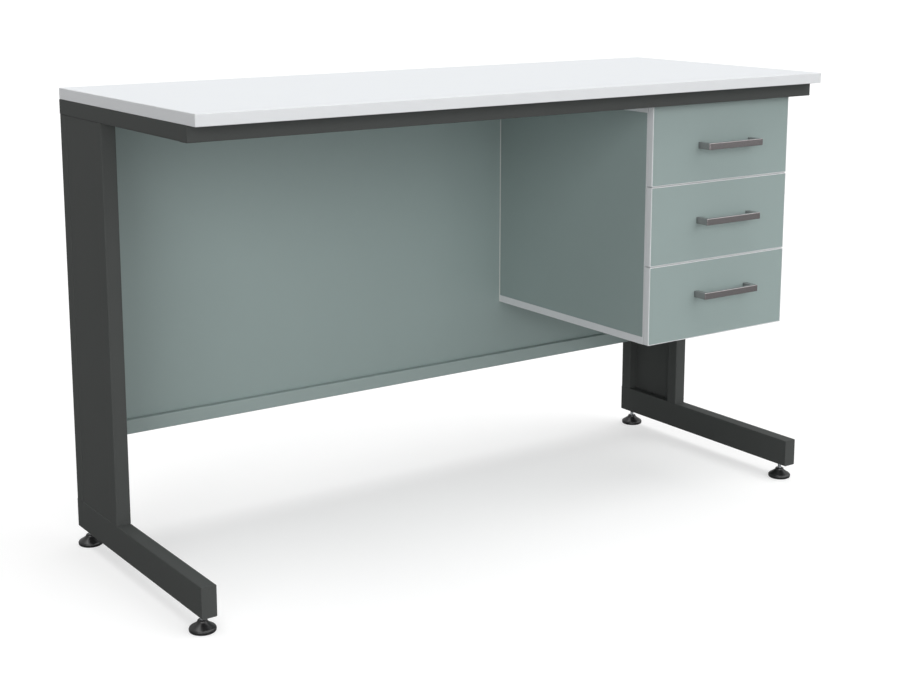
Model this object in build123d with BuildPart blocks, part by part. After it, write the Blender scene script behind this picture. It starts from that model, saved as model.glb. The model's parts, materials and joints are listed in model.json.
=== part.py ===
"""Bench desk with a hanging three-drawer pedestal, as separate pieces in one frame.

Millimetres, +Z up. The origin is on the floor under the middle of the worktop: X runs along
the desk with the pedestal at +X, and the user sits on the -Y side.
"""

from build123d import *
import os

os.makedirs("parts", exist_ok=True)

# Overall sizes
DESK_WIDTH = 1500.0
DESK_DEPTH = 600.0
DESK_HEIGHT = 935.0
FRONT_OVERHANG = 32.0

# Worktop
TOP_THICKNESS = 22.0
TOP_EDGING = 2.0
EDGING_JOINT = 0.2

# Steel frame
TUBE = 30.0
TUBE_WALL = 2.0
TUBE_CORNER = 2.0
FOOT_HEIGHT = 60.0
FRONT_POST_SETBACK = 400.0
INFILL_THICKNESS = 7.0
INFILL_WALL = 1.5
INFILL_OUTER_STEP = 1.0
CAP_THICKNESS = 2.0
RAIL_GAP_ABOVE_FOOT = 124.0

# Levelling glides
FLOOR_TO_FOOT = 35.0
GLIDE_RADIUS = 25.0
GLIDE_HEIGHT = 22.0
GLIDE_SOLE = [(22.6, 0.0), (24.2, 1.2), (GLIDE_RADIUS, 2.6)]
GLIDE_RIM = (GLIDE_RADIUS, 5.0)
GLIDE_SHOULDER = (21.0, 9.6)
GLIDE_FLANK = (14.4, 13.8)
GLIDE_NECK = (9.4, 19.0)
GLIDE_CROWN_SIDE = (9.0, 21.0)
GLIDE_CROWN = (7.6, GLIDE_HEIGHT)
STUD_RADIUS = 4.0
STUD_LENGTH = 48.7
STUD_SEAT = 8.0
STUD_SEAT_GAP = 0.3
RUNNING_CLEARANCE = 0.05
INSERT_RADIUS = 5.5
INSERT_FLANGE_RADIUS = 8.0
INSERT_FLANGE = 1.0
INSERT_LENGTH = 17.0
GLIDE_FROM_FOOT_FRONT = 30.0
GLIDE_FROM_FOOT_REAR = 25.0

# Panels and pedestal
BOARD = 16.0
EDGING = 1.0
CARCASS_EDGING = 2.0
FRONT_EDGING = 2.0
BACK_THICKNESS = 3.0
PEDESTAL_WIDTH = 398.0
PEDESTAL_HEIGHT = 510.0
PEDESTAL_RIGHT_GAP = 38.0
HANGER_INSET = 16.0

# Drawers
DRAWER_NAMES = ["bottom_drawer", "middle_drawer", "top_drawer"]
FRONT_HEIGHT = 169.0
FRONT_PITCH = 170.0
FRONT_PLANE_SETBACK = 57.0
FRONT_TO_CARCASS = 1.0
BOX_BOARD = 12.0
BOX_LENGTH = 455.0
BOX_HEIGHT = 110.0
BOX_RAISE = 32.0
BOX_BOTTOM = 3.0
BOX_BOTTOM_RAISE = 8.0
GROOVE_DEPTH = 6.0

# Ball-bearing runners: each member is a channel pressed from strip
RUNNER_SPACE = 13.0
RUNNER_STRIP = 1.2
RUNNER_LENGTH = 450.0
RUNNER_RAISE = 40.0
RUNNER_START = 5.0
CABINET_CHANNEL = (0.0, 10.0, 45.0)
MIDDLE_CHANNEL = (2.4, 11.2, 38.6)
DRAWER_CHANNEL = (13.0, 5.0, 32.0)

# Handles
HANDLE_LENGTH = 158.0
HANDLE_PROJECTION = 34.0
HANDLE_HEIGHT = 14.0
HANDLE_POST = 12.0
HANDLE_BAR = 8.0
HANDLE_INNER_RADIUS = 8.0
HANDLE_OUTER_RADIUS = 2.0
HANDLE_OFFSET = 10.0
LOWEST_HANDLE_RAISE = 97.0
HANDLE_PITCH = 161.0

# Screws
SCREW_RADIUS = 2.5
SCREW_HEAD_RADIUS = 4.5
SCREW_HEAD = 2.5
SCREW_LENGTH = 16.0
BOLT_RADIUS = 3.0
BOLT_HEAD_RADIUS = 5.5
BOLT_HEAD = 3.0
BOLT_LENGTH = 19.0
HANDLE_SCREW_RADIUS = 2.0
HANDLE_SCREW_HEAD_RADIUS = 4.0
HANDLE_SCREW_HEAD = 2.5
HANDLE_SCREW_REACH = 8.0
ACCESS_RADIUS = 5.5
RECESS_RADIUS = 4.5

# Levels and planes worked out from the sizes above
LEFT, RIGHT = -DESK_WIDTH / 2, DESK_WIDTH / 2
FRONT, REAR = -DESK_DEPTH / 2, DESK_DEPTH / 2
FRAME_FRONT = FRONT + FRONT_OVERHANG
TOP_UNDERSIDE = DESK_HEIGHT - TOP_THICKNESS
BEAM_BOTTOM = TOP_UNDERSIDE - TUBE
FOOT_BOTTOM = FLOOR_TO_FOOT
FOOT_TOP = FOOT_BOTTOM + FOOT_HEIGHT
RAIL_BOTTOM = FOOT_TOP + RAIL_GAP_ABOVE_FOOT
RAIL_TOP = RAIL_BOTTOM + TUBE
PANEL_FRONT = REAR - BOARD
REAR_TUBE_Y = REAR - TUBE / 2
FRONT_POST_Y = FRONT + FRONT_POST_SETBACK + TUBE / 2
LEG_X = RIGHT - TUBE / 2

PED_RIGHT = RIGHT - PEDESTAL_RIGHT_GAP
PED_LEFT = PED_RIGHT - PEDESTAL_WIDTH
PED_TOP = BEAM_BOTTOM
PED_BOTTOM = PED_TOP - PEDESTAL_HEIGHT
PED_CENTRE = (PED_LEFT + PED_RIGHT) / 2
FRONT_FACE = FRONT + FRONT_PLANE_SETBACK
FRONT_BACK = FRONT_FACE + BOARD
CARCASS_FRONT = FRONT_BACK + FRONT_TO_CARCASS
BOARD_FRONT = CARCASS_FRONT + CARCASS_EDGING
BOARD_REAR = PANEL_FRONT - BACK_THICKNESS
INNER_LEFT = PED_LEFT + BOARD
INNER_RIGHT = PED_RIGHT - BOARD
BOX_LEFT = INNER_LEFT + RUNNER_SPACE
BOX_RIGHT = INNER_RIGHT - RUNNER_SPACE
BOX_REAR = FRONT_BACK + BOX_LENGTH
HANGER_X = [PED_LEFT + HANGER_INSET + TUBE / 2, PED_RIGHT - HANGER_INSET - TUBE / 2]
HANDLE_X = PED_CENTRE + HANDLE_OFFSET
HANDLE_POST_X = [
    HANDLE_X + side * (HANDLE_LENGTH - HANDLE_POST) / 2 for side in (-1, 1)
]

# Screw positions
BEAM_SCREW_X = [-600.0, 0.0, 600.0]
ARM_SCREW_Y = 0.0
HANGER_SCREW_Y = 0.0
PANEL_SCREW_X = [-600.0, -200.0, 200.0, 600.0]
PANEL_SCREW_INSET = 7.0
PANEL_SCREW_Y = PANEL_FRONT + PANEL_SCREW_INSET
BOLT_Y = [-150.0, 150.0]
FRONT_BEAM_Y = FRAME_FRONT + TUBE / 2
TOP_SCREWS = (
    [(x, y) for x in BEAM_SCREW_X for y in (FRONT_BEAM_Y, REAR_TUBE_Y)]
    + [(side * LEG_X, ARM_SCREW_Y) for side in (-1, 1)]
    + [(x, HANGER_SCREW_Y) for x in HANGER_X]
)
PANEL_SCREWS = [(x, PANEL_SCREW_Y) for x in PANEL_SCREW_X]
BOLTS = [(x, y) for x in HANGER_X for y in BOLT_Y]

# Glide positions: along Y only, each leg has one at either end of its foot
GLIDE_Y = {
    "front": FRAME_FRONT + GLIDE_FROM_FOOT_FRONT,
    "rear": REAR - GLIDE_FROM_FOOT_REAR,
}


def save(builder, name):
    """Labels a finished piece and writes it as its own file."""
    builder.part.label = name
    export_step(builder.part, f"parts/{name}.step")


def block(x_range, y_range, z_range, mode=Mode.ADD):
    """A box between two values on each axis, in the builder that is open."""
    ranges = (x_range, y_range, z_range)
    sides = [high - low for low, high in ranges]
    with Locations(tuple((low + high) / 2 for low, high in ranges)):
        Box(*sides, mode=mode)


def upright(points, z_range, radius, mode=Mode.ADD):
    """Vertical cylinders of one radius at several plan points, in the builder that is open."""
    bottom, top = z_range
    with Locations(*[(x, y, (bottom + top) / 2) for x, y in points]):
        Cylinder(radius, top - bottom, mode=mode)


def tube(plane, across, height, wall, start, end):
    """A rectangular tube along a plane's normal, between two distances from that plane."""
    with BuildSketch(plane.offset(start)) as section:
        RectangleRounded(across, height, TUBE_CORNER)
        Rectangle(across - 2 * wall, height - 2 * wall, mode=Mode.SUBTRACT)
    extrude(section.sketch, amount=end - start)


def screw_holes(points, outer_wall, inner_wall):
    """Clearance holes for screws seated inside a tube, and access holes in its lower wall."""
    upright(points, inner_wall, SCREW_RADIUS, Mode.SUBTRACT)
    upright(points, outer_wall, ACCESS_RADIUS, Mode.SUBTRACT)


BEAM_LOWER_WALL = (BEAM_BOTTOM, BEAM_BOTTOM + TUBE_WALL)
BEAM_UPPER_WALL = (TOP_UNDERSIDE - TUBE_WALL, TOP_UNDERSIDE)
RAIL_LOWER_WALL = (RAIL_BOTTOM, RAIL_BOTTOM + TUBE_WALL)
RAIL_UPPER_WALL = (RAIL_TOP - TUBE_WALL, RAIL_TOP)
BEAM_CENTRE_Z = (BEAM_BOTTOM + TOP_UNDERSIDE) / 2
RAIL_CENTRE_Z = (RAIL_BOTTOM + RAIL_TOP) / 2
FOOT_CENTRE_Z = (FOOT_BOTTOM + FOOT_TOP) / 2

# ---------------------------------------------------------------- worktop

with BuildPart() as worktop_board:
    block(
        (LEFT + TOP_EDGING, RIGHT - TOP_EDGING),
        (FRONT + TOP_EDGING, REAR - TOP_EDGING),
        (TOP_UNDERSIDE, DESK_HEIGHT),
    )
    pilot = (TOP_UNDERSIDE, BEAM_UPPER_WALL[0] + SCREW_LENGTH)
    upright(TOP_SCREWS, pilot, SCREW_RADIUS, Mode.SUBTRACT)
save(worktop_board, "worktop_board")

with BuildPart() as worktop_edging:
    thick = (TOP_UNDERSIDE, DESK_HEIGHT)
    side_y = (FRONT + TOP_EDGING + EDGING_JOINT, REAR - TOP_EDGING - EDGING_JOINT)
    block((LEFT, RIGHT), (FRONT, FRONT + TOP_EDGING), thick)
    block((LEFT, RIGHT), (REAR - TOP_EDGING, REAR), thick)
    block((LEFT, LEFT + TOP_EDGING), side_y, thick)
    block((RIGHT - TOP_EDGING, RIGHT), side_y, thick)
save(worktop_edging, "worktop_edging")

# ---------------------------------------------------------------- steel frame


def along_x(y, z):
    """A plane facing +X, centred on a height and a distance from front to back."""
    return Plane(origin=(0, y, z), x_dir=(0, 1, 0), z_dir=(1, 0, 0))


def along_y(x, z):
    """A plane facing +Y, centred on a height and a distance along the desk."""
    return Plane(origin=(x, 0, z), x_dir=(-1, 0, 0), z_dir=(0, 1, 0))


def along_z(x, y):
    """A plane facing +Z, centred on a point of the floor."""
    return Plane(origin=(x, y, 0), x_dir=(1, 0, 0), z_dir=(0, 0, 1))


with BuildPart() as front_beam:
    span = (LEFT + CAP_THICKNESS, RIGHT - CAP_THICKNESS)
    tube(along_x(FRONT_BEAM_Y, BEAM_CENTRE_Z), TUBE, TUBE, TUBE_WALL, *span)
    seats = [(x, FRONT_BEAM_Y) for x in BEAM_SCREW_X]
    screw_holes(seats, BEAM_LOWER_WALL, BEAM_UPPER_WALL)
save(front_beam, "front_beam")

with BuildPart() as rear_beam:
    span = (LEFT + TUBE, RIGHT - TUBE)
    tube(along_x(REAR_TUBE_Y, BEAM_CENTRE_Z), TUBE, TUBE, TUBE_WALL, *span)
    seats = [(x, REAR_TUBE_Y) for x in BEAM_SCREW_X]
    screw_holes(seats, BEAM_LOWER_WALL, BEAM_UPPER_WALL)
save(rear_beam, "rear_beam")

with BuildPart() as lower_rail:
    span = (LEFT + TUBE, RIGHT - TUBE)
    tube(along_x(REAR_TUBE_Y, RAIL_CENTRE_Z), TUBE, TUBE, TUBE_WALL, *span)
    screw_holes(PANEL_SCREWS, RAIL_LOWER_WALL, RAIL_UPPER_WALL)
save(lower_rail, "lower_rail")

with BuildPart() as hanger_rails:
    span = (FRAME_FRONT + TUBE, REAR - TUBE)
    for x in HANGER_X:
        tube(along_y(x, BEAM_CENTRE_Z), TUBE, TUBE, TUBE_WALL, *span)
    seats = [(x, HANGER_SCREW_Y) for x in HANGER_X]
    screw_holes(seats, BEAM_LOWER_WALL, BEAM_UPPER_WALL)
    upright(BOLTS, BEAM_LOWER_WALL, BOLT_RADIUS, Mode.SUBTRACT)
save(hanger_rails, "hanger_rails")

for side_name, side in (("left", -1), ("right", 1)):
    leg_x = side * LEG_X

    with BuildPart() as arm:
        span = (FRAME_FRONT + TUBE, REAR - CAP_THICKNESS)
        tube(along_y(leg_x, BEAM_CENTRE_Z), TUBE, TUBE, TUBE_WALL, *span)
        screw_holes([(leg_x, ARM_SCREW_Y)], BEAM_LOWER_WALL, BEAM_UPPER_WALL)
    save(arm, f"{side_name}_arm")

    for post_name, post_y in (("rear", REAR_TUBE_Y), ("front", FRONT_POST_Y)):
        with BuildPart() as post:
            span = (FOOT_TOP, BEAM_BOTTOM)
            tube(along_z(leg_x, post_y), TUBE, TUBE, TUBE_WALL, *span)
        save(post, f"{side_name}_{post_name}_post")

    with BuildPart() as infill_panel:
        panel_x = side * (RIGHT - INFILL_OUTER_STEP - INFILL_THICKNESS / 2)
        inner_y = (FRONT_POST_Y + TUBE / 2, REAR - TUBE)
        width = inner_y[1] - inner_y[0]
        with BuildSketch(along_z(panel_x, sum(inner_y) / 2).offset(FOOT_TOP)):
            Rectangle(INFILL_THICKNESS, width)
            Rectangle(
                INFILL_THICKNESS - 2 * INFILL_WALL,
                width - 2 * INFILL_WALL,
                mode=Mode.SUBTRACT,
            )
        extrude(amount=BEAM_BOTTOM - FOOT_TOP)
    save(infill_panel, f"{side_name}_infill_panel")

    with BuildPart() as foot:
        span = (FRAME_FRONT + CAP_THICKNESS, REAR - CAP_THICKNESS)
        tube(along_y(leg_x, FOOT_CENTRE_Z), TUBE, FOOT_HEIGHT, TUBE_WALL, *span)
        seats = [(leg_x, y) for y in GLIDE_Y.values()]
        wall = (FOOT_BOTTOM, FOOT_BOTTOM + TUBE_WALL)
        upright(seats, wall, INSERT_RADIUS, Mode.SUBTRACT)
    save(foot, f"{side_name}_foot")


def cap(plane, across, height):
    """A welded plate that closes a tube's end, with the tube's own outline."""
    with BuildSketch(plane) as outline:
        RectangleRounded(across, height, TUBE_CORNER)
    extrude(outline.sketch, amount=CAP_THICKNESS)


with BuildPart() as tube_end_caps:
    for start in (LEFT, RIGHT - CAP_THICKNESS):
        cap(along_x(FRONT_BEAM_Y, BEAM_CENTRE_Z).offset(start), TUBE, TUBE)
    for leg_x in (-LEG_X, LEG_X):
        rear_end = REAR - CAP_THICKNESS
        cap(along_y(leg_x, BEAM_CENTRE_Z).offset(rear_end), TUBE, TUBE)
        for start in (FRAME_FRONT, rear_end):
            cap(along_y(leg_x, FOOT_CENTRE_Z).offset(start), TUBE, FOOT_HEIGHT)
save(tube_end_caps, "tube_end_caps")

with BuildPart() as foot_inserts:
    corners = [(side * LEG_X, y) for side in (-1, 1) for y in GLIDE_Y.values()]
    insert_bottom = FOOT_BOTTOM - INSERT_FLANGE
    insert_span = (insert_bottom, insert_bottom + INSERT_LENGTH)
    upright(corners, insert_span, INSERT_RADIUS)
    upright(corners, (insert_bottom, FOOT_BOTTOM), INSERT_FLANGE_RADIUS)
    upright(corners, insert_span, STUD_RADIUS + RUNNING_CLEARANCE, Mode.SUBTRACT)
save(foot_inserts, "foot_inserts")


def screws(points, wall_bottom, radius, head_radius, head, length):
    """Upright screws driven from below, each head against a wall's lower face."""
    upright(points, (wall_bottom - head, wall_bottom), head_radius)
    upright(points, (wall_bottom, wall_bottom + length), radius)


with BuildPart() as frame_screws:
    head_size = (SCREW_RADIUS, SCREW_HEAD_RADIUS, SCREW_HEAD, SCREW_LENGTH)
    screws(TOP_SCREWS, BEAM_UPPER_WALL[0], *head_size)
    screws(PANEL_SCREWS, RAIL_UPPER_WALL[0], *head_size)
save(frame_screws, "frame_screws")

# ---------------------------------------------------------------- levelling glides

with BuildPart() as glide_pattern:
    with BuildSketch(Plane.XZ):
        with BuildLine():
            Polyline((0, 0), *GLIDE_SOLE, GLIDE_RIM)
            TangentArc(GLIDE_RIM, GLIDE_SHOULDER, tangent=(0, 1))
            ThreePointArc(GLIDE_SHOULDER, GLIDE_FLANK, GLIDE_NECK)
            ThreePointArc(GLIDE_NECK, GLIDE_CROWN_SIDE, GLIDE_CROWN)
            Polyline(GLIDE_CROWN, (0, GLIDE_HEIGHT), (0, 0))
        make_face()
    revolve(axis=Axis.Z)
    seat = (STUD_SEAT, GLIDE_HEIGHT)
    upright([(0, 0)], seat, STUD_RADIUS + RUNNING_CLEARANCE, Mode.SUBTRACT)

for side_name, side in (("left", -1), ("right", 1)):
    for end_name, glide_y in GLIDE_Y.items():
        glide = f"{side_name}_{end_name}_glide"
        with BuildPart() as base:
            with Locations((side * LEG_X, glide_y, 0)):
                add(glide_pattern.part)
        save(base, f"{glide}_base")

        with BuildPart() as stud:
            stud_bottom = STUD_SEAT + STUD_SEAT_GAP
            length = (stud_bottom, stud_bottom + STUD_LENGTH)
            upright([(side * LEG_X, glide_y)], length, STUD_RADIUS)
            chamfer(stud.edges().sort_by(Axis.Z)[-1], STUD_RADIUS / 4)
        save(stud, f"{glide}_stud")

# ---------------------------------------------------------------- modesty panel

with BuildPart() as modesty_panel:
    block((LEFT + TUBE, RIGHT - TUBE), (PANEL_FRONT, REAR), (RAIL_TOP, BEAM_BOTTOM))
    pilot = (RAIL_TOP, RAIL_UPPER_WALL[0] + SCREW_LENGTH)
    upright(PANEL_SCREWS, pilot, SCREW_RADIUS, Mode.SUBTRACT)
save(modesty_panel, "modesty_panel")

# ---------------------------------------------------------------- pedestal carcass

CARCASS_Y = (BOARD_FRONT, BOARD_REAR)
SHELF_X = (PED_LEFT + EDGING, PED_RIGHT - EDGING)
SIDE_Z = (PED_BOTTOM + BOARD, PED_TOP - BOARD)

with BuildPart() as pedestal_top:
    block(SHELF_X, CARCASS_Y, (PED_TOP - BOARD, PED_TOP))
    upright(BOLTS, (PED_TOP - BOARD, PED_TOP), BOLT_RADIUS, Mode.SUBTRACT)
save(pedestal_top, "pedestal_top")

with BuildPart() as pedestal_bottom:
    block(SHELF_X, CARCASS_Y, (PED_BOTTOM, PED_BOTTOM + BOARD))
save(pedestal_bottom, "pedestal_bottom")

with BuildPart() as pedestal_left_side:
    block((PED_LEFT, INNER_LEFT), CARCASS_Y, SIDE_Z)
save(pedestal_left_side, "pedestal_left_side")

with BuildPart() as pedestal_right_side:
    block((INNER_RIGHT, PED_RIGHT), CARCASS_Y, SIDE_Z)
save(pedestal_right_side, "pedestal_right_side")

with BuildPart() as pedestal_back:
    block((PED_LEFT, PED_RIGHT), (BOARD_REAR, PANEL_FRONT), (PED_BOTTOM, PED_TOP))
save(pedestal_back, "pedestal_back")

with BuildPart() as pedestal_edging:
    front_y = (CARCASS_FRONT, BOARD_FRONT)
    side_y = (BOARD_FRONT + EDGING_JOINT, BOARD_REAR)
    shelves = ((PED_BOTTOM, PED_BOTTOM + BOARD), (PED_TOP - BOARD, PED_TOP))
    upright_z = (SIDE_Z[0] + EDGING_JOINT, SIDE_Z[1] - EDGING_JOINT)
    for shelf in shelves:
        block((PED_LEFT, PED_RIGHT), front_y, shelf)
        block((PED_LEFT, PED_LEFT + EDGING), side_y, shelf)
        block((PED_RIGHT - EDGING, PED_RIGHT), side_y, shelf)
    block((PED_LEFT, INNER_LEFT), front_y, upright_z)
    block((INNER_RIGHT, PED_RIGHT), front_y, upright_z)
save(pedestal_edging, "pedestal_edging")

with BuildPart() as pedestal_bolts:
    head_size = (BOLT_RADIUS, BOLT_HEAD_RADIUS, BOLT_HEAD, BOLT_LENGTH)
    screws(BOLTS, PED_TOP - BOARD, *head_size)
save(pedestal_bolts, "pedestal_bolts")

# ---------------------------------------------------------------- drawer runners

RUNNER_Y = (FRONT_BACK + RUNNER_START, FRONT_BACK + RUNNER_START + RUNNER_LENGTH)


def runner_pair(channel, centre_z):
    """One member of a drawer's two runners.

    The channel gives the distances of its web and its flange tips from the carcass side,
    and its height. The right runner mirrors the left one.
    """
    web, tip, height = channel
    inward = 1 if tip > web else -1
    for edge, side in ((INNER_LEFT, 1), (INNER_RIGHT, -1)):
        outer = edge + side * web
        web_x = sorted((outer, outer + side * inward * RUNNER_STRIP))
        flange_x = sorted((outer, edge + side * tip))
        block(web_x, RUNNER_Y, (centre_z - height / 2, centre_z + height / 2))
        for flange_side in (-1, 1):
            edges = [height / 2, height / 2 - RUNNER_STRIP]
            flange_z = sorted(centre_z + flange_side * edge_z for edge_z in edges)
            block(flange_x, RUNNER_Y, flange_z)


def drawer_bottom_z(index):
    """The lower edge of a drawer's front, counted from the bottom drawer."""
    return PED_BOTTOM + index * FRONT_PITCH


def runner_z(index):
    """The middle height of a drawer's runners."""
    return drawer_bottom_z(index) + BOX_RAISE + RUNNER_RAISE


with BuildPart() as cabinet_runners:
    for index in range(len(DRAWER_NAMES)):
        runner_pair(CABINET_CHANNEL, runner_z(index))
save(cabinet_runners, "cabinet_runners")

# ---------------------------------------------------------------- drawers


def drawer_front(bottom, handle_z):
    """The board behind the handle, drilled for the two handle screws."""
    with BuildPart() as front:
        x_range = (PED_LEFT + FRONT_EDGING, PED_RIGHT - FRONT_EDGING)
        z_range = (bottom + FRONT_EDGING, bottom + FRONT_HEIGHT - FRONT_EDGING)
        block(x_range, (FRONT_FACE, FRONT_BACK), z_range)
        holes = Plane(origin=(0, FRONT_BACK, 0), x_dir=(1, 0, 0), z_dir=(0, -1, 0))
        with BuildSketch(holes):
            with Locations(*[(x, handle_z) for x in HANDLE_POST_X]):
                Circle(HANDLE_SCREW_RADIUS)
        extrude(amount=BOARD, mode=Mode.SUBTRACT)
    return front


def drawer_edging(bottom):
    """Four strips that cover the front board's edges."""
    top = bottom + FRONT_HEIGHT
    depth = (FRONT_FACE, FRONT_BACK)
    corner = FRONT_EDGING + EDGING_JOINT
    upright_z = (bottom + corner, top - corner)
    with BuildPart() as edging:
        block((PED_LEFT, PED_RIGHT), depth, (bottom, bottom + FRONT_EDGING))
        block((PED_LEFT, PED_RIGHT), depth, (top - FRONT_EDGING, top))
        block((PED_LEFT, PED_LEFT + FRONT_EDGING), depth, upright_z)
        block((PED_RIGHT - FRONT_EDGING, PED_RIGHT), depth, upright_z)
    return edging


def drawer_box(bottom, handle_z):
    """Two sides and two ends, grooved for the bottom and recessed for the screw heads."""
    low = bottom + BOX_RAISE
    z_range = (low, low + BOX_HEIGHT)
    inner_x = (BOX_LEFT + BOX_BOARD, BOX_RIGHT - BOX_BOARD)
    with BuildPart() as box:
        block((BOX_LEFT, inner_x[0]), (FRONT_BACK, BOX_REAR), z_range)
        block((inner_x[1], BOX_RIGHT), (FRONT_BACK, BOX_REAR), z_range)
        block(inner_x, (FRONT_BACK, FRONT_BACK + BOX_BOARD), z_range)
        block(inner_x, (BOX_REAR - BOX_BOARD, BOX_REAR), z_range)
        block(*bottom_ranges(bottom), Mode.SUBTRACT)
        recess = Plane(origin=(0, FRONT_BACK, 0), x_dir=(-1, 0, 0), z_dir=(0, 1, 0))
        with BuildSketch(recess):
            with Locations(*[(-x, handle_z) for x in HANDLE_POST_X]):
                Circle(RECESS_RADIUS)
        extrude(amount=BOX_BOARD, mode=Mode.SUBTRACT)
    return box


def bottom_ranges(bottom):
    """The three ranges of the drawer's bottom sheet, which runs into the grooves."""
    reach = BOX_BOARD - GROOVE_DEPTH
    low = bottom + BOX_RAISE + BOX_BOTTOM_RAISE
    return (
        (BOX_LEFT + reach, BOX_RIGHT - reach),
        (FRONT_BACK + reach, BOX_REAR - reach),
        (low, low + BOX_BOTTOM),
    )


def drawer_handle(handle_z):
    """A bow handle: a flat bar that turns back into two posts, with rounded corners."""
    half = HANDLE_LENGTH / 2
    inner = half - HANDLE_POST
    gap_depth = HANDLE_PROJECTION - HANDLE_BAR
    with BuildPart() as handle:
        with BuildSketch(Plane.XY.offset(handle_z - HANDLE_HEIGHT / 2)) as plan:
            with Locations((HANDLE_X, FRONT_FACE - HANDLE_PROJECTION / 2)):
                Rectangle(HANDLE_LENGTH, HANDLE_PROJECTION)
            with Locations((HANDLE_X, FRONT_FACE - gap_depth / 2)):
                Rectangle(2 * inner, gap_depth, mode=Mode.SUBTRACT)
            fillet(plan.vertices().group_by(Axis.Y)[1], HANDLE_INNER_RADIUS)
            fillet(plan.vertices().group_by(Axis.Y)[0], HANDLE_OUTER_RADIUS)
        extrude(amount=HANDLE_HEIGHT)
        seat = Plane(
            origin=(HANDLE_X, FRONT_FACE, handle_z), x_dir=(1, 0, 0), z_dir=(0, -1, 0)
        )
        with BuildSketch(seat):
            with GridLocations(HANDLE_LENGTH - HANDLE_POST, 0, 2, 1):
                Circle(HANDLE_SCREW_RADIUS)
        extrude(amount=HANDLE_SCREW_REACH, mode=Mode.SUBTRACT)
    return handle


def handle_screws(handle_z):
    """Two screws from the drawer's inside through its front and into the handle."""
    seat = Plane(origin=(0, FRONT_BACK, 0), x_dir=(1, 0, 0), z_dir=(0, -1, 0))
    with BuildPart() as fixings:
        for radius, amount in (
            (HANDLE_SCREW_RADIUS, BOARD + HANDLE_SCREW_REACH),
            (HANDLE_SCREW_HEAD_RADIUS, -HANDLE_SCREW_HEAD),
        ):
            with BuildSketch(seat):
                with Locations(*[(x, handle_z) for x in HANDLE_POST_X]):
                    Circle(radius)
            extrude(amount=amount)
    return fixings


for index, drawer in enumerate(DRAWER_NAMES):
    bottom = drawer_bottom_z(index)
    handle_z = PED_BOTTOM + LOWEST_HANDLE_RAISE + index * HANDLE_PITCH

    save(drawer_front(bottom, handle_z), f"{drawer}_front")
    save(drawer_edging(bottom), f"{drawer}_front_edging")
    save(drawer_box(bottom, handle_z), f"{drawer}_box")
    save(drawer_handle(handle_z), f"{drawer}_handle")
    save(handle_screws(handle_z), f"{drawer}_handle_screws")

    with BuildPart() as box_bottom:
        block(*bottom_ranges(bottom))
    save(box_bottom, f"{drawer}_box_bottom")

    with BuildPart() as middle_runners:
        runner_pair(MIDDLE_CHANNEL, runner_z(index))
    save(middle_runners, f"{drawer}_middle_runners")

    with BuildPart() as box_runners:
        runner_pair(DRAWER_CHANNEL, runner_z(index))
    save(box_runners, f"{drawer}_box_runners")
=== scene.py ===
"""Bench desk with a hanging three-drawer pedestal: finishes, fine pieces, light and camera.

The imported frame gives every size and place. Each class below dresses one sub-assembly of it:
some of its nodes keep their mesh and get a finish, and others give way to a finer surface.
Lengths are metres.
"""

import json
import logging
import math
from dataclasses import dataclass
from enum import Enum

import bpy
import numpy as np
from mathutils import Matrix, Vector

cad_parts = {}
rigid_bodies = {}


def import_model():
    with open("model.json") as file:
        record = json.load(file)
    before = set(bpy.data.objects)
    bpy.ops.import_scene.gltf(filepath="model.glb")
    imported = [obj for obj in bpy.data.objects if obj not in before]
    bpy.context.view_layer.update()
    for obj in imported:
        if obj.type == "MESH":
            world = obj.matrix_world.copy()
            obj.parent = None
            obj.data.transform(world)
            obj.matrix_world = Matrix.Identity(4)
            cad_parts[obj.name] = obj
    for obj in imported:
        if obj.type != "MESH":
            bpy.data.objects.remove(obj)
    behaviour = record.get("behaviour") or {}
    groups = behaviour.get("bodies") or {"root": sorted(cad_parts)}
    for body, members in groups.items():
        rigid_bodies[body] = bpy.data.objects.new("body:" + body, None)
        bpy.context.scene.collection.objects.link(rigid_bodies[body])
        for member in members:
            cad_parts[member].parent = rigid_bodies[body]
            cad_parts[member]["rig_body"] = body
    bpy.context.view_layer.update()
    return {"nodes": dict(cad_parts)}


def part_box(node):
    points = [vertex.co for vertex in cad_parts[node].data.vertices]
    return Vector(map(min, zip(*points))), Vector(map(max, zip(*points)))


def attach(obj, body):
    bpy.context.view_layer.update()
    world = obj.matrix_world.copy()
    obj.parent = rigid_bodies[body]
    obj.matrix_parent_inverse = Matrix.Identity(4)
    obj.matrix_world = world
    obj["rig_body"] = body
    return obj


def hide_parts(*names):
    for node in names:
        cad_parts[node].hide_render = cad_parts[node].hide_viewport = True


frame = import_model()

MM = 0.001
WHITE = (1.0, 1.0, 1.0, 1.0)
LOG = logging.getLogger("desk")

# Points that agree to this many decimals of a metre are one point.
WELD_PLACES = 8
# At this weight a flat face keeps its own direction up to the edge that rounds away from it.
FLAT_FACE_WEIGHT = 100


# ------------------------------------------------------------------ surfaces


class Lie(Enum):
    """How a board lies, by the index of the direction through it."""

    UPRIGHT = 1
    FLAT = 2


@dataclass(frozen=True)
class Surface:
    """Points and faces of one closed skin.

    Attributes:
        points: one row for each point.
        quads: four point numbers for each face.
    """

    points: np.ndarray
    quads: np.ndarray


def weave(rows: int, columns: int, round_rows: bool = False) -> np.ndarray:
    """Joins the points of a grid, numbered row by row, into quads.

    Each row is a ring, so its last point meets its first.

    Args:
        rows: points down the grid.
        columns: points round each row.
        round_rows: whether the last row meets the first.

    Returns:
        One row of four point numbers for each face.
    """
    down = np.arange(rows if round_rows else rows - 1)
    row, column = np.meshgrid(down, np.arange(columns), indexing="ij")
    next_row, next_column = (row + 1) % rows, (column + 1) % columns
    corners = (
        row * columns + column,
        row * columns + next_column,
        next_row * columns + next_column,
        next_row * columns + column,
    )
    return np.stack(corners, axis=-1).reshape(-1, 4)


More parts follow.
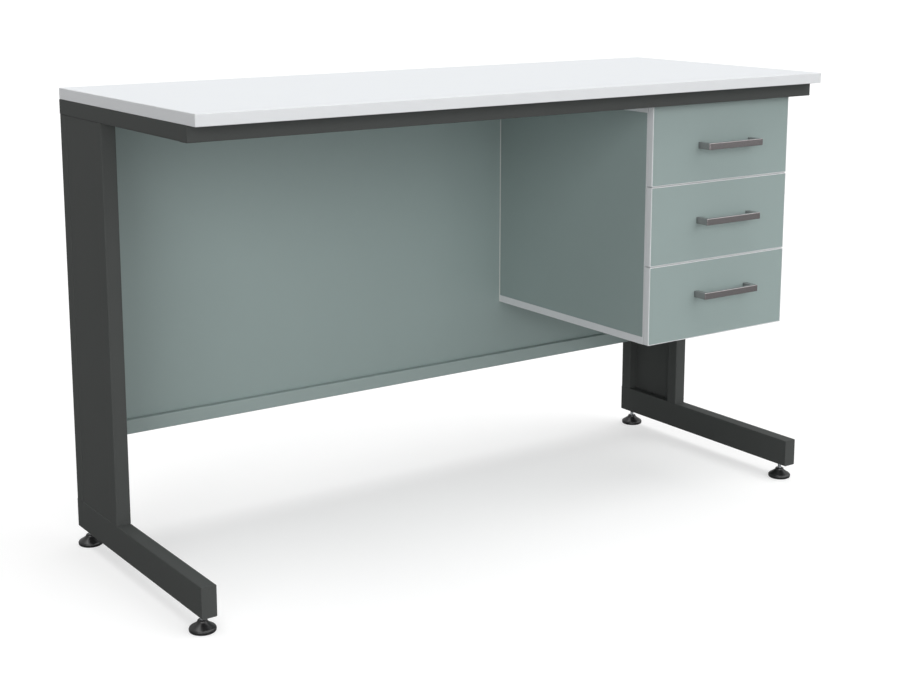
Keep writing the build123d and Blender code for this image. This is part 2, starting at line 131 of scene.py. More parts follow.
def grid_surface(grid: np.ndarray, round_rows: bool = False) -> Surface:
    """Makes a surface of a grid of points.

    Args:
        grid: an array of rows by columns by three.
        round_rows: whether the last row meets the first.

    Returns:
        The surface, with its quads numbered row by row.
    """
    rows, columns = grid.shape[:2]
    return Surface(grid.reshape(-1, 3), weave(rows, columns, round_rows))


def joined(surfaces: list[Surface]) -> Surface:
    """Puts several surfaces into one, with their points kept apart.

    Args:
        surfaces: the surfaces, in order.

    Returns:
        One surface that holds them all.
    """
    starts = np.cumsum([0] + [len(s.points) for s in surfaces[:-1]])
    points = np.concatenate([s.points for s in surfaces])
    quads = np.concatenate([s.quads + start for s, start in zip(surfaces, starts)])
    return Surface(points, quads)


def arc(
    centre: tuple[float, float], reach: tuple[float, float], angles: np.ndarray
) -> np.ndarray:
    """Points on an ellipse: its centre, plus its reach times the cosine and the sine.

    Args:
        centre: the middle of the ellipse.
        reach: how far it goes along its two directions.
        angles: the angle of each point.

    Returns:
        One row of two places for each point.
    """
    turns = np.stack((np.cos(angles), np.sin(angles)), axis=1)
    return np.array(centre) + np.array(reach) * turns


def corner_turns(steps: int) -> tuple[np.ndarray, np.ndarray]:
    """Angles round a rounded rectangle, with the sign of the corner that each belongs to.

    The four quarter turns follow one another, and each starts where the last one ended, so
    the straight sides lie between them.

    Args:
        steps: faces in each quarter turn.

    Returns:
        The angles, and the x and y signs of their corners as two columns.
    """
    quarter = np.linspace(0, math.pi / 2, steps + 1)
    angles = np.concatenate([quarter + k * math.pi / 2 for k in range(4)])
    signs = np.repeat([(1, 1), (-1, 1), (-1, -1), (1, -1)], steps + 1, axis=0)
    return angles, signs


def rounded_block(low: np.ndarray, high: np.ndarray, radius: float, steps: int = 3) -> Surface:
    """A block with every edge and corner rounded.

    A point is the block's centre, plus the corner sign times the half size less the radius,
    plus the radius times the unit direction at a longitude and a latitude. Longitudes and
    latitudes repeat where one corner's eighth of a sphere gives way to the next one's.

    Args:
        low: the block's lowest corner.
        high: its highest corner.
        radius: the radius of its edges.
        steps: faces across each rounded edge.

    Returns:
        The closed surface.
    """
    centre, half = (low + high) / 2, (high - low) / 2
    longitude, sign = corner_turns(steps)
    rise = np.linspace(-math.pi / 2, 0, steps + 1)
    latitude = np.concatenate([rise, rise + math.pi / 2])[:, None]
    level = np.repeat([-1, 1], steps + 1)[:, None]
    core = half - radius
    flat = radius * np.cos(latitude)
    grid = np.stack(
        (
            sign[:, 0] * core[0] + flat * np.cos(longitude),
            sign[:, 1] * core[1] + flat * np.sin(longitude),
            level * core[2] + radius * np.sin(latitude) + 0 * longitude,
        ),
        axis=-1,
    )
    rows, columns = grid.shape[:2]
    poles = np.arange(4) * (steps + 1)
    caps = np.array([poles[::-1], poles + (rows - 1) * columns])
    quads = np.concatenate([weave(rows, columns), caps])
    return Surface(grid.reshape(-1, 3) + centre, quads)


def edge_band(
    low: np.ndarray,
    high: np.ndarray,
    lie: Lie,
    thickness: float,
    radius: float,
    steps: int = 4,
) -> Surface:
    """The strip that runs round a board's four edges, in one piece.

    The profile is a rectangle of the strip's thickness by the board's, with its two outer
    corners rounded. It is carried round the bare board's outline, and at each corner it
    turns through a quarter circle about the bare board's corner, so a point is the outline's
    corner plus the profile's offset times the outward direction there.

    Args:
        low: the lowest corner of the board with its strip.
        high: its highest corner.
        lie: how the board lies.
        thickness: the strip's thickness.
        radius: the radius of the strip's two outer corners.
        steps: faces across each rounded corner.

    Returns:
        The closed ring.
    """
    through = lie.value
    first, second = [k for k in range(3) if k != through]
    centre, half = (low + high) / 2, (high - low) / 2
    turn, sign = corner_turns(steps)
    quarter = np.linspace(0, math.pi / 2, steps + 1)
    outer_low = thickness - radius + radius * np.sin(quarter)
    outer_high = thickness - radius + radius * np.cos(quarter)
    offset = np.concatenate([[0.0], outer_low, outer_high, [0.0]])[:, None]
    side = half[through]
    along_low = -side + radius - radius * np.cos(quarter)
    along_high = side - radius + radius * np.sin(quarter)
    along = np.concatenate([[-side], along_low, along_high, [side]])[:, None]
    grid = np.zeros((len(offset), len(turn), 3))
    grid[..., first] = sign[:, 0] * (half[first] - thickness) + offset * np.cos(turn)
    grid[..., second] = sign[:, 1] * (half[second] - thickness) + offset * np.sin(turn)
    grid[..., through] = along
    return grid_surface(grid + centre, round_rows=True)


def round_angles(columns: int) -> np.ndarray:
    """Even angles once round, as many as there are columns."""
    return np.linspace(0, 2 * math.pi, columns, endpoint=False)


def rings(radius: np.ndarray, height: np.ndarray, angle: np.ndarray) -> np.ndarray:
    """Points round a vertical axis: the radius times the direction, at its height."""
    return np.stack((radius * np.cos(angle), radius * np.sin(angle), height + 0 * angle), axis=-1)


def turned(profile: np.ndarray, centre: np.ndarray, columns: int) -> Surface:
    """A turned piece: a profile of radius and height swept once round a vertical axis.

    A profile that starts and ends on the axis closes the skin there.

    Args:
        profile: one row of radius and height for each ring, from the bottom up.
        centre: the point of the axis at height zero.
        columns: points round each ring.

    Returns:
        The closed surface.
    """
    return grid_surface(rings(profile[:, :1], profile[:, 1:], round_angles(columns)) + centre)


# ------------------------------------------------------------------ finishes


@dataclass(frozen=True)
class Texture:
    """The fine texture of a surface.

    Attributes:
        stretch: factors on its scale along x, y and z, where a small one draws it out.
        scale: how fine it is.
        depth: how far it rises and falls.
    """

    stretch: tuple[float, float, float]
    scale: float
    depth: float


class Grain(Enum):
    """What a finish shows close up."""

    POWDER = Texture((1.0, 1.0, 1.0), 900.0, 0.06 * MM)
    EMBOSSED = Texture((1.0, 1.0, 1.0), 1500.0, 0.03 * MM)
    MOULDED = Texture((1.0, 1.0, 1.0), 700.0, 0.02 * MM)
    BRUSHED = Texture((0.03, 1.0, 1.0), 2600.0, 0.003 * MM)
    FIBRE = Texture((1.0, 0.35, 1.0), 420.0, 0.08 * MM)
    PLATED = Texture((1.0, 1.0, 0.4), 1200.0, 0.01 * MM)


BUMP_STRENGTH = 0.5
NOISE_MEAN = 0.5
FINE_DETAIL = 3.0
BROAD_DETAIL = 4.0
# Patches of the tone are about a hand's width across.
BROAD_SCALE = 9.0


def linear(level: float) -> float:
    """One channel from a display value out of 255 to light, by the standard display curve."""
    value = level / 255
    return value / 12.92 if value <= 0.04045 else ((value + 0.055) / 1.055) ** 2.4


def surface_group() -> bpy.types.ShaderNodeTree:
    """Builds the node group that gives every finish its fine texture.

    Fine noise gives the height, and moves the roughness a little. Broad noise gives the
    tone, which stays near one.

    Returns:
        The group, with its values for each finish as named inputs.
    """
    group = bpy.data.node_groups.new("fine_surface", "ShaderNodeTree")
    sockets = group.interface
    sockets.new_socket("Vector", in_out="INPUT", socket_type="NodeSocketVector")
    for name in ("Scale", "Mottle", "Roughness", "Roughness Spread"):
        sockets.new_socket(name, in_out="INPUT", socket_type="NodeSocketFloat")
    for name in ("Tone", "Roughness", "Height"):
        sockets.new_socket(name, in_out="OUTPUT", socket_type="NodeSocketFloat")
    nodes, links = group.nodes, group.links
    given, result = nodes.new("NodeGroupInput"), nodes.new("NodeGroupOutput")

    fine = nodes.new("ShaderNodeTexNoise")
    fine.inputs["Detail"].default_value = FINE_DETAIL
    links.new(given.outputs["Vector"], fine.inputs["Vector"])
    links.new(given.outputs["Scale"], fine.inputs["Scale"])

    broad = nodes.new("ShaderNodeTexNoise")
    broad.inputs["Scale"].default_value = BROAD_SCALE
    broad.inputs["Detail"].default_value = BROAD_DETAIL
    links.new(given.outputs["Vector"], broad.inputs["Vector"])

    def wander(noise: bpy.types.Node, amount: str, middle: float = 0.0) -> bpy.types.Node:
        """Noise less its mean, times one of the group's inputs, plus a middle value.

        Args:
            noise: the noise.
            amount: the name of the input that says how far the value wanders.
            middle: the value that it wanders about.

        Returns:
            The node that gives the value, whose third input is the middle.
        """
        centred = nodes.new("ShaderNodeMath")
        centred.operation = "SUBTRACT"
        centred.inputs[1].default_value = NOISE_MEAN
        links.new(noise.outputs["Fac"], centred.inputs[0])
        scaled = nodes.new("ShaderNodeMath")
        scaled.operation = "MULTIPLY_ADD"
        scaled.inputs[2].default_value = middle
        links.new(centred.outputs[0], scaled.inputs[0])
        links.new(given.outputs[amount], scaled.inputs[1])
        return scaled

    tone = wander(broad, "Mottle", 1.0)
    rough = wander(fine, "Roughness Spread")
    links.new(given.outputs["Roughness"], rough.inputs[2])
    links.new(tone.outputs[0], result.inputs["Tone"])
    links.new(rough.outputs[0], result.inputs["Roughness"])
    links.new(fine.outputs["Fac"], result.inputs["Height"])
    return group


@dataclass(frozen=True)
class Finish:
    """One material of the desk.

    Attributes:
        name: the material's name.
        colour: its display red, green and blue, out of 255.
        grain: what it shows close up.
        roughness: how dull it is, from 0 to 1.
        mottle: how far its tone wanders, as a share.
        metallic: 1 for bare metal.
        specular: how strongly it reflects, 0.5 for most paints and plastics.
        spread: how far its roughness wanders over the fine grain.
    """

    name: str
    colour: tuple[float, float, float]
    grain: Grain
    roughness: float
    mottle: float
    metallic: float = 0.0
    specular: float = 0.5
    spread: float = 0.1

    def material(self, group: bpy.types.ShaderNodeTree) -> bpy.types.Material:
        """Builds the finish as a material.

        Args:
            group: the shared group of fine texture.

        Returns:
            The material.
        """
        made = bpy.data.materials.new(self.name)
        made.use_nodes = True
        nodes, links = made.node_tree.nodes, made.node_tree.links
        grain = self.grain.value
        shader = nodes["Principled BSDF"]
        shader.inputs["Metallic"].default_value = self.metallic
        shader.inputs["Specular IOR Level"].default_value = self.specular

        place = nodes.new("ShaderNodeTexCoord")
        mapping = nodes.new("ShaderNodeMapping")
        mapping.inputs["Scale"].default_value = grain.stretch
        links.new(place.outputs["Object"], mapping.inputs["Vector"])

        texture = nodes.new("ShaderNodeGroup")
        texture.node_tree = group
        texture.inputs["Scale"].default_value = grain.scale
        texture.inputs["Mottle"].default_value = self.mottle
        texture.inputs["Roughness"].default_value = self.roughness
        texture.inputs["Roughness Spread"].default_value = self.spread
        links.new(mapping.outputs["Vector"], texture.inputs["Vector"])
        links.new(texture.outputs["Roughness"], shader.inputs["Roughness"])

        tint = nodes.new("ShaderNodeMix")
        tint.data_type = "RGBA"
        tint.blend_type = "MULTIPLY"
        tint.inputs["Factor"].default_value = 1.0
        tint.inputs["A"].default_value = (*(linear(level) for level in self.colour), 1.0)
        links.new(texture.outputs["Tone"], tint.inputs["B"])
        links.new(tint.outputs["Result"], shader.inputs["Base Color"])

        bump = nodes.new("ShaderNodeBump")
        bump.inputs["Strength"].default_value = BUMP_STRENGTH
        bump.inputs["Distance"].default_value = grain.depth
        links.new(texture.outputs["Height"], bump.inputs["Height"])
        links.new(bump.outputs["Normal"], shader.inputs["Normal"])
        return made


class Coat(Enum):
    """The desk's finishes."""

    WHITE_TOP = Finish("white_laminate", (226, 229, 232), Grain.EMBOSSED, 0.42, 0.012)
    WHITE_BAND = Finish("white_edge_band", (213, 215, 217), Grain.MOULDED, 0.35, 0.02)
    GREY_GREEN = Finish("grey_green_laminate", (141, 156, 154), Grain.EMBOSSED, 0.5, 0.03)
    WHITE_BOX = Finish("white_drawer_board", (228, 230, 230), Grain.EMBOSSED, 0.5, 0.03)
    WHITE_HARDBOARD = Finish("white_hardboard", (222, 222, 218), Grain.FIBRE, 0.6, 0.05)
    DARK_POWDER = Finish(
        "dark_grey_powder_coat", (73, 75, 74), Grain.POWDER, 0.5, 0.05, specular=0.05
    )
    GREEN_POWDER = Finish("grey_green_powder_coat", (146, 160, 158), Grain.POWDER, 0.45, 0.04)
    ZINC = Finish("bright_zinc", (190, 193, 196), Grain.PLATED, 0.3, 0.1, metallic=1.0)
    SATIN = Finish(
        "satin_metal", (174, 169, 170), Grain.BRUSHED, 0.26, 0.03, metallic=1.0, spread=0.02
    )
    BLACK = Finish("black_moulding", (34, 34, 35), Grain.MOULDED, 0.32, 0.08)


def set_up(name: str, data: bpy.types.ID) -> bpy.types.Object:
    """Makes an object of a mesh, a light or a camera and links it to the scene.

    Args:
        name: the object's name.
        data: what it shows.

    Returns:
        The object.
    """
    made = bpy.data.objects.new(name, data)
    bpy.context.scene.collection.objects.link(made)
    return made


def corners(node: str) -> tuple[np.ndarray, np.ndarray]:
    """A node's lowest and highest corners, as arrays."""
    low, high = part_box(node)
    return np.array(low), np.array(high)


class Wardrobe:
    """Builds each finish once, and puts it on nodes and on new pieces."""

    def __init__(self) -> None:
        """Builds the shared group and every material."""
        group = surface_group()
        self.materials = {coat: coat.value.material(group) for coat in Coat}

    def dress(self, node: str, coat: Coat) -> None:
        """Gives a CAD node a finish.

        Args:
            node: the node's name.
            coat: the finish.
        """
        for slot in frame["nodes"][node].material_slots:
            slot.material = self.materials[coat]
        LOG.info("%s keeps its shape, in %s", node, coat.value.name)

    def piece(self, name: str, surface: Surface, coat: Coat, node: str) -> None:
        """Makes a visible piece that stands for a CAD node and rides on its body.

        Args:
            name: the new piece's name.
            surface: its skin.
            coat: its finish.
            node: the node it replaces.
        """
        mesh = bpy.data.meshes.new(name)
        points, numbers = np.unique(
            np.round(surface.points, WELD_PLACES), axis=0, return_inverse=True
        )
        faces = numbers.reshape(-1)[surface.quads]
        loops = [list(dict.fromkeys(face)) for face in faces.tolist()]
        mesh.from_pydata(points, [], [face for face in loops if len(face) > 2])
        mesh.validate()
        mesh.shade_smooth()
        mesh.materials.append(self.materials[coat])
        made = set_up(name, mesh)
        level = made.modifiers.new("flat_faces", "WEIGHTED_NORMAL")
        level.weight = FLAT_FACE_WEIGHT
        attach(made, frame["nodes"][node]["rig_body"])
        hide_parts(node)
        LOG.info("%s: %d points, in place of %s", name, len(points), node)


# ------------------------------------------------------------------ sub-assemblies


@dataclass
class Worktop:
    """The white board and the band round its edges.

    Attributes:
        band: the band's thickness.
        radius: the radius of its outer edges.
    """

    band: float = 2 * MM
    radius: float = 1.2 * MM

    def build(self, wardrobe: Wardrobe) -> None:
        """Dresses the board and bands its edges.

        Args:
            wardrobe: the desk's finishes.
        """
        wardrobe.dress("worktop_board", Coat.WHITE_TOP)
        low, high = corners("worktop_edging")
        ring = edge_band(low, high, Lie.FLAT, self.band, self.radius)
        wardrobe.piece("worktop_edge_band", ring, Coat.WHITE_BAND, "worktop_edging")


@dataclass
class SteelFrame:
    """The welded tubes, their caps, and the rear rail and panel between the legs.

    Attributes:
        leg: the tubes and panels that each leg has.
        shared: the dark steel that joins the legs.
        fixings: the plated screws, inserts and bolts.
    """

    leg: tuple[str, ...] = ("arm", "rear_post", "front_post", "infill_panel", "foot")
    shared: tuple[str, ...] = ("front_beam", "rear_beam", "tube_end_caps", "hanger_rails")
    fixings: tuple[str, ...] = ("frame_screws", "foot_inserts", "pedestal_bolts")

    def build(self, wardrobe: Wardrobe) -> None:
        """Coats the tubes, the rail, the panel and the fixings.

        Args:
            wardrobe: the desk's finishes.
        """
        legs = [f"{side}_{node}" for side in ("left", "right") for node in self.leg]
        for node in (*self.shared, *legs):
            wardrobe.dress(node, Coat.DARK_POWDER)
        wardrobe.dress("lower_rail", Coat.GREEN_POWDER)
        wardrobe.dress("modesty_panel", Coat.GREY_GREEN)
        for node in self.fixings:
            wardrobe.dress(node, Coat.ZINC)


@dataclass
class Glide:
    """A levelling glide: a turned foot of black moulding on a threaded stud.

    The outline of the base is in shares of its radius and its height, but for the socket.

    Attributes:
        name: the glide's name in the frame.
        columns: points round the base.
        rim: radius and height of each point of the sole and of the grooved rim.
        shoulder_height: where the rim starts to round over.
        shoulder_reach: how far a full quarter turn would take it, inwards and up.
        shoulder_sweep: how far it turns, in degrees.
        shoulder_rings: rings of points on it.
        flank_power: the flank's power, where 1 is straight and more is hollower.
        flank_rings: rings of points on the flank.
        neck: radius and height where the flank ends.
        crown_reach: how far the crown rounds over, inwards.
        crown_rings: rings of points on it.
        bore: the radius of the base's socket, a little wider than the stud.
        seat: the height of the socket's floor.
        pitch: the thread's pitch.
        thread_depth: how deep the thread is cut.
        steps_per_turn: rows of points in one pitch of the thread.
        stud_columns: points round the stud.
        stud_tip: the share of its radius that the stud keeps at each end.
    """

    name: str
    columns: int = 72
    rim: tuple[tuple[float, float], ...] = (
        (0.0, 0.0),
        (0.86, 0.0),
        (0.90, 0.01),
        (0.955, 0.05),
        (0.985, 0.09),
        (0.968, 0.115),
        (0.985, 0.14),
        (1.0, 0.19),
    )
    shoulder_height: float = 0.235
    shoulder_reach: tuple[float, float] = (0.19, 0.215)
    shoulder_sweep: float = 62.0
    shoulder_rings: int = 8
    flank_power: float = 1.25
    flank_rings: int = 13
    neck: tuple[float, float] = (0.385, 0.86)
    crown_reach: float = 0.08
    crown_rings: int = 6
    bore: float = 4.05 * MM
    seat: float = 8 * MM
    pitch: float = 1.25 * MM
    thread_depth: float = 0.6 * MM
    steps_per_turn: int = 8
    stud_columns: int = 24
    stud_tip: float = 0.6

    def base_profile(self, radius: float, height: float) -> np.ndarray:
        """Radius and height up the base's outline.

        A flat sole turns up into a short rim with a groove round it. The rim rounds over into
        a concave flank, given by a power curve from the shoulder to the neck. A small
        rounded crown surrounds the socket that holds the stud.

        Args:
            radius: the rim's radius.
            height: the base's height.

        Returns:
            One row of radius and height for each ring.
        """
        turn = np.linspace(0, math.radians(self.shoulder_sweep), self.shoulder_rings)
        shoulder_centre = (1 - self.shoulder_reach[0], self.shoulder_height)
        shoulder = arc(shoulder_centre, self.shoulder_reach, turn)

        share = np.linspace(0, 1, self.flank_rings + 1)[1:]
        (start_radius, start_height), (neck_radius, neck_height) = shoulder[-1], self.neck
        inwards = (start_radius - neck_radius) * (1 - share) ** self.flank_power
        upwards = (neck_height - start_height) * share
        flank = np.stack((neck_radius + inwards, start_height + upwards), axis=1)

        turn = np.linspace(0, math.pi / 2, self.crown_rings + 1)[1:]
        crown_centre = (neck_radius - self.crown_reach, neck_height)
        crown = arc(crown_centre, (self.crown_reach, 1 - neck_height), turn)

        bore, floor = self.bore / radius, self.seat / height
        socket = [(bore, 1.0), (bore, floor), (0.0, floor)]
        return np.concatenate([self.rim, shoulder, flank, crown, socket]) * (radius, height)

    def stud(self, low: np.ndarray, high: np.ndarray) -> Surface:
        """The stud, with its thread cut as a helix.

        The radius at an angle and a height is the outer radius less the thread's depth times
        a triangle wave of the height in pitches less the angle in turns. Both ends taper in.

        Args:
            low: the stud's lowest corner.
            high: its highest corner.

        Returns:
            The closed surface.
        """
        outer = (high[0] - low[0]) / 2
        length = high[2] - low[2]
        rows = int(length / self.pitch * self.steps_per_turn)
        height = np.linspace(0, length, rows)[:, None]
        angle = round_angles(self.stud_columns)
        phase = (height / self.pitch - angle / (2 * math.pi)) % 1.0
        wave = np.abs(2 * phase - 1)
        from_end = np.minimum(height, length - height)
        taper = np.minimum(1, from_end / self.pitch + self.stud_tip)
        grid = rings((outer - self.thread_depth * wave) * taper, height, angle)
        pole = np.zeros((1, self.stud_columns, 3))
        grid = np.concatenate([pole, grid, pole + (0, 0, length)])
        centre = np.array([(low[0] + high[0]) / 2, (low[1] + high[1]) / 2, low[2]])
        return grid_surface(grid + centre)

    def build(self, wardrobe: Wardrobe) -> None:
        """Makes the base and the stud.

        Args:
            wardrobe: the desk's finishes.
        """
        low, high = corners(f"{self.name}_base")
        size = high - low
        centre = np.array([*(low + high)[:2] / 2, low[2]])
        base = turned(self.base_profile(size[0] / 2, size[2]), centre, self.columns)
        wardrobe.piece(f"{self.name}_foot_pad", base, Coat.BLACK, f"{self.name}_base")
        stud = self.stud(*corners(f"{self.name}_stud"))
        wardrobe.piece(f"{self.name}_thread", stud, Coat.ZINC, f"{self.name}_stud")


@dataclass
class Pedestal:
    """The hanging carcass: boards, banding and the runners fixed inside it.

    Attributes:
        board: the thickness of its boards.
        band: the thickness of the banding on the ends of its top and bottom boards.
        front_band: the thickness of the banding round its open front.
        radius: the radius of the banding's edges.
    """

    board: float = 16 * MM
    band: float = 1 * MM
    front_band: float = 2 * MM
    radius: float = 0.4 * MM

    def strips(self) -> Surface:
        """The eight strips of banding, each a long block with softened edges.

        Returns:
            The strips, as one surface.
        """
        low, high = corners("pedestal_edging")
        bands = []
        back = low[1] + self.front_band
        for bottom in (low[2], high[2] - self.board):
            top = bottom + self.board
            bands.append(((low[0], low[1], bottom), (high[0], back, top)))
            for left in (low[0], high[0] - self.band):
                bands.append(((left, back, bottom), (left + self.band, high[1], top)))
        for left in (low[0], high[0] - self.board):
            bottom, top = low[2] + self.board, high[2] - self.board
            bands.append(((left, low[1], bottom), (left + self.board, back, top)))
        return joined(
            [rounded_block(np.array(start), np.array(end), self.radius) for start, end in bands]
        )

    def build(self, wardrobe: Wardrobe) -> None:
        """Dresses the boards and bands their edges.

        Args:
            wardrobe: the desk's finishes.
        """
        for node in ("top", "bottom", "left_side", "right_side"):
            wardrobe.dress(f"pedestal_{node}", Coat.GREY_GREEN)
        wardrobe.dress("pedestal_back", Coat.WHITE_HARDBOARD)
        wardrobe.dress("cabinet_runners", Coat.ZINC)
        strips = self.strips()
        wardrobe.piece("pedestal_edge_bands", strips, Coat.WHITE_BAND, "pedestal_edging")


@dataclass
class Drawer:
    """One drawer: its front, band, bow handle, box and runners.

    Attributes:
        name: the drawer's name in the frame.
        band: the thickness of the front's edge band.
        band_radius: the radius of its outer edges.
        post: the width of each handle post.
        bar: the thickness of the handle's bar.
        outer_turn: the radius of the handle's two outer corners, seen from above.
        inner_turn: the radius of its two inner corners.
        turn_steps: faces round each of those corners.
        edge: the radius along the handle's edges.
        edge_steps: faces across each of those edges.
        post_points: points along each post.
        bar_points: points along the bar, with the two where its corners end.
    """

    name: str
    band: float = 2 * MM
    band_radius: float = 1.2 * MM
    post: float = 12 * MM
    bar: float = 8 * MM
    outer_turn: float = 2.5 * MM
    inner_turn: float = 8 * MM
    turn_steps: int = 6
    edge: float = 1.0 * MM
    edge_steps: int = 3
    post_points: int = 4
    bar_points: int = 16

    def outline(self, half: float, depth: float, radius: float) -> np.ndarray:
        """Sideways distance and depth along one side of the handle, seen from above.

        The line goes out along the left post, through a quarter circle, along the bar,
        through another quarter circle and back along the right post.

        Args:
            half: half the distance between the posts' faces on this side.
            depth: how far the bar's face stands from the drawer's front.
            radius: the radius of the two quarter circles.

        Returns:
            One row of sideways distance and depth for each point.
        """
        up = np.linspace(0, depth - radius, self.post_points, endpoint=False)
        post = np.stack((np.full_like(up, -half), up), axis=1)
        angles = np.linspace(0, math.pi / 2, self.turn_steps + 1)
        turn = arc((radius - half, depth - radius), (-radius, radius), angles)
        along = np.linspace(radius - half, half - radius, self.bar_points)[1:-1]
        bar = np.stack((along, np.full_like(along, depth)), axis=1)
        left = np.concatenate([post, turn])
        return np.concatenate([left, bar, left[::-1] * (-1, 1)])

    def handle(self, low: np.ndarray, high: np.ndarray) -> Surface:
        """The bow handle, as a section carried from one post round to the other.

        The section is a rectangle between the outer and the inner outline, of one height all
        the way, with rounded corners. A point is the middle of the two outlines, plus the
        section's width there times the direction from the inner outline to the outer one,
        plus the section's height. The skin closes at the middle of each end.

        Args:
            low: the handle's lowest corner.
            high: its highest corner.

        Returns:
            The closed surface.
        """
        half, depth, tall = (high[0] - low[0]) / 2, high[1] - low[1], high[2] - low[2]
        outer = self.outline(half, depth, self.outer_turn)
        inner = self.outline(half - self.post, depth - self.bar, self.inner_turn)
        middle = (outer + inner) / 2
        across = outer - inner
        width = np.linalg.norm(across, axis=1)
        direction = across / width[:, None]
        turn, sign = corner_turns(self.edge_steps)
        out = sign[:, 0] * (width[:, None] / 2 - self.edge) + self.edge * np.cos(turn)
        up = sign[:, 1] * (tall / 2 - self.edge) + self.edge * np.sin(turn)
        grid = np.zeros((*out.shape, 3))
        grid[..., 0] = middle[:, :1] + direction[:, :1] * out
        grid[..., 1] = -(middle[:, 1:] + direction[:, 1:] * out)
        grid[..., 2] = up
        ends = np.repeat(grid[[0, -1]].mean(axis=1, keepdims=True), grid.shape[1], axis=1)
        grid = np.concatenate([ends[:1], grid, ends[1:]])
        centre = np.array([(low[0] + high[0]) / 2, high[1], (low[2] + high[2]) / 2])
        return grid_surface(grid + centre)

    def build(self, wardrobe: Wardrobe) -> None:
        """Dresses the boards and makes the band and the handle.

        Args:
            wardrobe: the desk's finishes.
        """
        wardrobe.dress(f"{self.name}_front", Coat.GREY_GREEN)
        wardrobe.dress(f"{self.name}_box", Coat.WHITE_BOX)
        wardrobe.dress(f"{self.name}_box_bottom", Coat.WHITE_HARDBOARD)
        for node in ("middle_runners", "box_runners", "handle_screws"):
            wardrobe.dress(f"{self.name}_{node}", Coat.ZINC)
        edging = f"{self.name}_front_edging"
        ring = edge_band(*corners(edging), Lie.UPRIGHT, self.band, self.band_radius)
        wardrobe.piece(f"{self.name}_edge_band", ring, Coat.WHITE_BAND, edging)
        bow = self.handle(*corners(f"{self.name}_handle"))
        wardrobe.piece(f"{self.name}_bow_handle", bow, Coat.SATIN, f"{self.name}_handle")


# ------------------------------------------------------------------ studio


@dataclass(frozen=True)
class Lamp:
    """A broad, distant light.

    Attributes:
        name: its name.
        strength: its strength.
        spread: how wide it looks, in degrees.
        height: how high it stands, in degrees above the floor.
        turn: where it stands, in degrees from behind the user round to their right.
    """

    name: str
    strength: float
    spread: float
    height: float
    turn: float

    def light(self) -> None:
        """Adds the lamp to the scene."""
        data = bpy.data.lights.new(self.name, "SUN")
        data.energy = self.strength
        data.angle = math.radians(self.spread)
        made = set_up(self.name, data)
        made.rotation_euler = (math.radians(90 - self.height), 0, math.radians(self.turn))


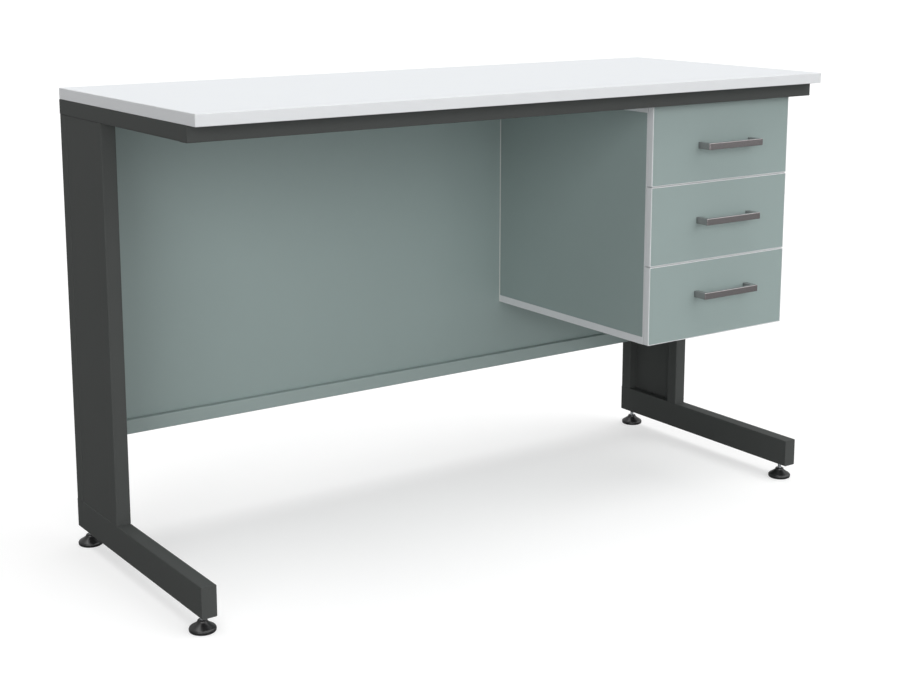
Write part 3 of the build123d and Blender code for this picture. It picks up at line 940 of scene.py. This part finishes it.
@dataclass
class Studio:
    """The floor, the light and the camera.

    Attributes:
        camera_place: where the camera stands, in the frame.
        heading: the way it looks, in degrees clockwise from +Y, seen from above.
        dip: how far it looks down, in degrees.
        lens: its focal length, in millimetres on a 36 mm sensor.
        rise: its vertical shift, as a share of the picture's width.
        floor_reach: how far the floor goes each way.
        floor_roughness: how dull the floor is.
        floor_specular: how strongly it reflects.
        floor_tone: the share of light that it gives back.
        floor_mirrored: that share where the floor shows in a reflection.
        floor_lift: what is added to the floor where the camera sees it directly.
        room_light: the strength of the even light.
        wall_tone: how bright the far wall looks.
        wall_mirrored: what the wall adds to the room's light in a reflection.
        lamps: the lamps that light the desk.
    """

    camera_place: tuple[float, float, float] = (-1.8995, -2.680, 1.2095)
    heading: float = 34.93
    dip: float = 10.79
    lens: float = 63.5
    rise: float = -0.10
    floor_reach: float = 40.0
    floor_roughness: float = 0.9
    floor_specular: float = 0.1
    floor_tone: float = 0.5
    floor_mirrored: float = 0.2
    floor_lift: float = 0.54
    room_light: float = 0.1
    wall_tone: float = 1.0
    wall_mirrored: float = 0.5
    lamps: tuple[Lamp, ...] = (
        Lamp("front_light", strength=0.9, spread=44, height=12, turn=0),
        Lamp("left_light", strength=1.12, spread=36, height=14, turn=-46),
        Lamp("right_light", strength=1.12, spread=60, height=35, turn=50),
        Lamp("top_light", strength=2.25, spread=60, height=88, turn=0),
    )

    def camera(self) -> None:
        """Sets the camera up in front of the desk, to its left and above the top."""
        data = bpy.data.cameras.new("desk_camera")
        data.lens = self.lens
        data.shift_y = self.rise
        made = set_up("desk_camera", data)
        made.location = self.camera_place
        made.rotation_euler = (math.radians(90 - self.dip), 0, math.radians(-self.heading))
        bpy.context.scene.camera = made

    @staticmethod
    def level_by_ray(
        tree: bpy.types.NodeTree, ray: bpy.types.NodeSocket, other: float, chosen: float
    ) -> bpy.types.NodeSocket:
        """Gives one level for the chosen kind of ray and another for the rest.

        Args:
            tree: the material's or the world's nodes.
            ray: the output that is 1 for the chosen kind of ray, and 0 for the rest.
            other: the level for every other ray.
            chosen: the level for the chosen kind of ray.

        Returns:
            The output that gives the level.
        """
        level = tree.nodes.new("ShaderNodeMapRange")
        level.inputs["To Min"].default_value = other
        level.inputs["To Max"].default_value = chosen
        tree.links.new(ray, level.inputs["Value"])
        return level.outputs["Result"]

    def floor(self) -> None:
        """Lays a wide pale floor, brighter to the eye than in the light it gives back."""
        far = self.floor_reach
        mesh = bpy.data.meshes.new("floor")
        points = [(-far, -far, 0), (far, -far, 0), (far, far, 0), (-far, far, 0)]
        mesh.from_pydata(points, [], [(0, 1, 2, 3)])
        material = bpy.data.materials.new("pale_floor")
        material.use_nodes = True
        tree = material.node_tree
        shader = tree.nodes["Principled BSDF"]
        shader.inputs["Roughness"].default_value = self.floor_roughness
        shader.inputs["Specular IOR Level"].default_value = self.floor_specular
        shader.inputs["Emission Color"].default_value = WHITE
        seen = tree.nodes.new("ShaderNodeLightPath").outputs
        lift = self.level_by_ray(tree, seen["Is Camera Ray"], 0.0, self.floor_lift)
        tree.links.new(lift, shader.inputs["Emission Strength"])
        tone = self.level_by_ray(
            tree, seen["Is Glossy Ray"], self.floor_tone, self.floor_mirrored
        )
        tree.links.new(tone, shader.inputs["Base Color"])
        mesh.materials.append(material)
        made = set_up("floor", mesh)

    def world(self) -> None:
        """Fills the room with a little even light, before a white wall."""
        room = bpy.data.worlds.new("studio")
        room.use_nodes = True
        tree = room.node_tree
        background = tree.nodes["Background"]
        background.inputs["Color"].default_value = WHITE
        seen = tree.nodes.new("ShaderNodeLightPath").outputs
        direct = self.level_by_ray(tree, seen["Is Camera Ray"], self.room_light, self.wall_tone)
        mirrored = self.level_by_ray(tree, seen["Is Glossy Ray"], 0.0, self.wall_mirrored)
        total = tree.nodes.new("ShaderNodeMath")
        total.operation = "ADD"
        tree.links.new(direct, total.inputs[0])
        tree.links.new(mirrored, total.inputs[1])
        tree.links.new(total.outputs["Value"], background.inputs["Strength"])
        bpy.context.scene.world = room

    def build(self) -> None:
        """Places the camera, lays the floor and lights it."""
        self.camera()
        self.floor()
        self.world()
        for lamp in self.lamps:
            lamp.light()
        bpy.context.scene.view_settings.view_transform = "Standard"


def main() -> None:
    """Builds the desk's sub-assemblies in order, then the studio."""
    logging.basicConfig(level=logging.INFO, format="%(message)s")
    wardrobe = Wardrobe()
    parts: list[Worktop | SteelFrame | Pedestal | Drawer | Glide] = [
        Worktop(),
        SteelFrame(),
        Pedestal(),
        *(Drawer(f"{level}_drawer") for level in ("bottom", "middle", "top")),
        *(Glide(f"{side}_{end}_glide") for side in ("left", "right") for end in ("front", "rear")),
    ]
    for part in parts:
        part.build(wardrobe)
    Studio().build()


if __name__ == "__main__":
    main()
